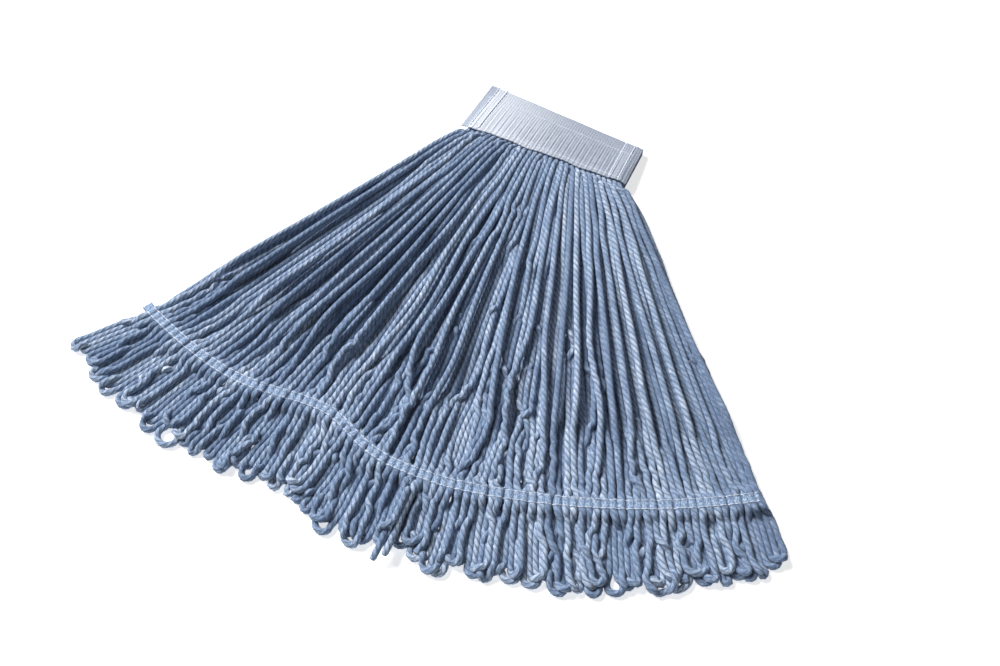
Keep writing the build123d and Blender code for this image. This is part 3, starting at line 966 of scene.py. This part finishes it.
# %% The headband's seams
def grid_line(fixed_run=None, fixed_end=None, side=1, half="front"):
    """A line on the finished cloth: along x at a run from the mouth, or across it near one end."""
    if fixed_run is not None:
        row = int(round(fixed_run / (2 * HALF_RUN) * 149))
        row = 149 - row if half == "front" else row
        columns = slice(6, 214)
        return outer[columns, row], normals[columns, row]
    column = int(round(fixed_end / HEADBAND_LENGTH * 219))
    column = 219 - column if side > 0 else column
    rows = slice(77, 147) if half == "front" else slice(3, 73)
    return outer[column, rows], normals[column, rows]


across_x, across_run = np.gradient(outer, axis=0), np.gradient(outer, axis=1)
normals = unit(np.cross(across_run, across_x))
middle_front = normals[110, 120]
normals = normals if middle_front[2] > 0 else -normals
for half_name in ("back", "front"):
    along = [grid_line(fixed_run=seam, half=half_name) for seam in (SEAM_LOW, SEAM_HIGH)]
    ends = [grid_line(fixed_end=end, side=s, half=half_name) for end in END_SEAMS for s in (-1, 1)]
    piece = stitch_piece(f"headband_{half_name}_end_stitches", ends, 4.0, 0.62)
    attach(piece, f"headband_{half_name}")
    piece = stitch_piece(f"headband_{half_name}_stitches", along, 3.0, 0.30)
    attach(piece, f"headband_{half_name}")
    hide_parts(f"headband_{half_name}_seams")

# %% [markdown]
# **The tail bands.** A thin gauze tape is sewn over and under each layer of legs with two rows of
# stitches. It is so thin that it takes the shape and most of the colour of the strands under it,
# and only the strip between the two rows looks paler. Each tape is a closed sheet that follows
# the band's line, rises over every strand and sags between them.

# %% Gauze tape material
gauze, tree, shader = new_material("woven_cotton_gauze_tape")
surface = add_node(tree, "ShaderNodeUVMap", uv_map="surface").outputs["UV"]
axes = add_node(tree, "ShaderNodeSeparateXYZ", {"Vector": surface})
sunk_shade = add_node(tree, "ShaderNodeAttribute", attribute_name="sunk_shade").outputs["Fac"]
# Warp and weft threads about 0.9 mm apart; real gauze is finer, and this is as fine as shows.
warp = add_maths(tree, "SINE", add_maths(tree, "MULTIPLY", axes.outputs["X"], 20 * math.pi / 0.9))
weft = add_maths(tree, "SINE", add_maths(tree, "MULTIPLY", axes.outputs["Y"], 20 * math.pi / 0.9))
grid = add_maths(tree, "MAXIMUM", warp, weft)
streak_place = add_node(tree, "ShaderNodeMapping", {"Vector": surface, "Scale": (13.0, 5.0, 1.0)})
streaks = add_node(tree, "ShaderNodeTexNoise",
                   {"Vector": streak_place.outputs[0], "Scale": 1.0, "Detail": 3.0},
                   noise_dimensions="2D").outputs["Fac"]
through = add_ramp(tree, streaks, [(0.34, "#4c607f"), (0.50, "#6c83a6"), (0.68, "#9db2cd")])
veil = add_ramp(tree, streaks, [(0.34, "#5f7596"), (0.50, "#8499b8"), (0.66, "#b6c8dd")])
from_middle = add_maths(tree, "ABSOLUTE", axes.outputs["Y"])
between = add_node(tree, "ShaderNodeMapRange",
                   {"Value": from_middle, 1: 0.30, 2: 0.36, 3: 1.0, 4: 0.0}).outputs[0]
colour = add_mix(tree, between, through, veil)
# Painted shade: a dark blue mixed in where the tape sags between strands.
colour = add_mix(tree, sunk_shade, colour, linear("#384a68"))
bump = add_node(tree, "ShaderNodeBump", {"Height": grid, "Strength": 0.25, "Distance": 0.0002})
tree.links.new(colour, shader.inputs["Base Color"])
tree.links.new(bump.outputs["Normal"], shader.inputs["Normal"])
shader.inputs["Roughness"].default_value = 0.9
shader.inputs["Specular IOR Level"].default_value = 0.2
shader.inputs["Sheen Weight"].default_value = 0.2
print("made", gauze.name)


# %% The tail bands
def band_frame(count, offset):
    """(shares along the band, places in plan, run) along lines that far across from the middle of the
    band.
    """
    u = np.linspace(0.001, 0.999, count)
    middle = fan_xy(u, leg_length(u))
    forward = unit(np.gradient(middle, axis=0))
    out = np.stack([forward[:, 1], -forward[:, 0]], -1)
    run = np.concatenate([[0], np.cumsum(np.linalg.norm(np.diff(middle, axis=0), axis=1))])
    return u, middle[:, None] + out[:, None] * offset[None, :, None], run


def band_height(u, shares, run):
    """The cloth's height over the strands' middles, in mm: the highest of a half ellipse on each
    strand, and a shallow sag between two strands, smoothed over 1.5 mm."""
    centre = np.interp(shares, u, run)
    away = np.abs(run[:, None] - centre[None]).min(1)
    bulge = YARN_RADIUS * 0.77 * np.sqrt(np.maximum(0, 1 - (away / (YARN_RADIUS * 1.14)) ** 2))
    kernel = np.hanning(5) / np.hanning(5).sum()
    return np.convolve(np.pad(bulge, 2, mode="edge"), kernel, "valid"), away


BAND_CLOTH = 0.25
band_offsets = np.linspace(-5.2, 5.2, 13)
for half_name, half in HALVES.items():
    u, plan, run = band_frame(900, band_offsets)
    bulge, away = band_height(u, band_shares[half_name], run)
    # Painted shade where the tape sags between two strands: it starts 2.2 mm from a strand's middle.
    sunk_shade = 0.70 * ramp(away, 2.2, 3.6)[:, None] + 0 * band_offsets[None]
    edge = np.maximum(0, np.abs(band_offsets) - SEAM_GAP / 2 - 0.5)
    for level, sign in (("upper", 1), ("lower", -1)):
        rise = bulge[:, None] - 0.45 * edge[None]
        z = half["band"] + sign * (rise + 0.10)
        z = np.maximum(z, BAND_CLOTH + 0.1)
        top = np.concatenate([plan, z[..., None]], -1)
        under = np.concatenate([plan, (z - sign * BAND_CLOTH)[..., None]], -1)
        sheet_uv = np.stack([run[:, None] + 0 * band_offsets[None],
                             band_offsets[None] + 0 * run[:, None]], -1)
        piece = closed_sheet(f"{half_name}_tail_tape_{level}", top, under, sheet_uv / 10.0,
                             {"sunk_shade": sunk_shade}, gauze)
        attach(piece, f"{half_name}_skirt")
        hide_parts(f"{half_name}_tail_band_{level}")
        if level == "upper":
            rows = [(top[:, k], np.tile([0.0, 0.0, 1.0], (len(top), 1))) for k in (2, 10)]
            piece = stitch_piece(f"{half_name}_tail_stitches", rows, 3.0, 0.36)
            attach(piece, f"{half_name}_skirt")
            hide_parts(f"{half_name}_tail_seams")
print("tail bands", round(float(run[-1])), "mm long")

# %% [markdown]
# **The tuck.** At its left end the front band is folded back on itself and stands out past the
# last strand, a small flat loop of tape.

# %% The tail band's tucked end
TUCK_OUT = 6.0
TUCK_LENGTH = 9.0
outward = math.pi + heading(0)
out_xy = np.array([math.cos(outward), math.sin(outward)])
along_xy = np.array([-out_xy[1], out_xy[0]])
s = np.linspace(-1, 1, 41)
v = np.linspace(-TUCK_LENGTH / 2, TUCK_LENGTH / 2, 13)
# A fold in section: out along the underside, round a small bend, and back along the top.
bend = np.clip(s / 0.3, -1, 1) * math.pi / 2
TUCK_BEND = 1.2
TUCK_FLAP = 6.4
reach_out = np.where(np.abs(s) > 0.3, TUCK_OUT - TUCK_BEND - (np.abs(s) - 0.3) / 0.7 * TUCK_FLAP,
                     TUCK_OUT - TUCK_BEND + TUCK_BEND * np.cos(bend))
height = 1.2 * np.sin(bend) + FRONT_BAND_Z
base = fan_xy(0.0, leg_length(0.0))


def tuck_grid(inset):
    """The folded loop at each place across the band, with its thickness taken inwards."""
    shrink = 1 - inset / 1.2
    z = FRONT_BAND_Z + (height - FRONT_BAND_Z) * shrink
    plan = base + (reach_out - inset)[:, None, None] * out_xy + v[None, :, None] * along_xy
    return np.concatenate([plan, (z[:, None] + 0.15 * np.sin(v[None] * 1.1))[..., None]], -1)


uv = np.stack([(s[:, None] * 8) + 0 * v[None], v[None] + 0 * s[:, None]], -1) / 10.0
tuck = closed_sheet("front_tail_tuck_folded", tuck_grid(0.0), tuck_grid(0.4), uv,
                    {"sunk_shade": np.zeros((len(s), len(v)))}, gauze)
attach(tuck, "front_skirt")
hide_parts("front_tail_tuck")

# %% [markdown]
# **The studio.** The mop lies on a white table under a large soft light from the upper left, with
# weaker light all round, so the floor goes nearly white and the gaps between strands stay dark.

# %% Floor
floor_material, tree, shader = new_material("white_paper_backdrop")
place = add_node(tree, "ShaderNodeTexCoord").outputs["Object"]
grain = add_node(tree, "ShaderNodeTexNoise", {"Vector": place, "Scale": 400.0}).outputs["Fac"]
paper = add_ramp(tree, grain, [(0.3, "#fbfbfb"), (0.7, "#ffffff")])
tree.links.new(paper, shader.inputs["Base Color"])
shader.inputs["Roughness"].default_value = 0.9
shader.inputs["Specular IOR Level"].default_value = 0.1
shader.inputs["Emission Color"].default_value = (1.0, 1.0, 1.0, 1.0)
shader.inputs["Emission Strength"].default_value = 0.60
FLOOR = 20000.0
corners = np.array([[-1, -1, 0], [1, -1, 0], [1, 1, 0], [-1, 1, 0]]) * FLOOR
floor = make_piece("floor", corners, [np.array([[0, 1, 2, 3]])], None, None, floor_material)

# %% Light
world = bpy.data.worlds.new("studio")
world.use_nodes = True
world.node_tree.nodes["Background"].inputs["Color"].default_value = (1.0, 1.0, 1.0, 1.0)
world.node_tree.nodes["Background"].inputs["Strength"].default_value = 0.11
bpy.context.scene.world = world


def area_light(name, place, target, size, power):
    """A square soft light that faces the target."""
    lamp = bpy.data.lights.new(name, "AREA")
    lamp.size = size
    lamp.energy = power
    holder = bpy.data.objects.new(name, lamp)
    holder.location = place
    holder.rotation_euler = (Vector(target) - Vector(place)).to_track_quat("-Z", "Y").to_euler()
    bpy.context.scene.collection.objects.link(holder)
    return holder


area_light("key", (-3.15, 0.35, 2.9), (0.05, -0.2, 0), 1.9, 350)
area_light("fill", (1.6, -1.2, 1.8), (0.05, -0.2, 0), 1.6, 5)
bpy.context.scene.view_settings.view_transform = "Standard"
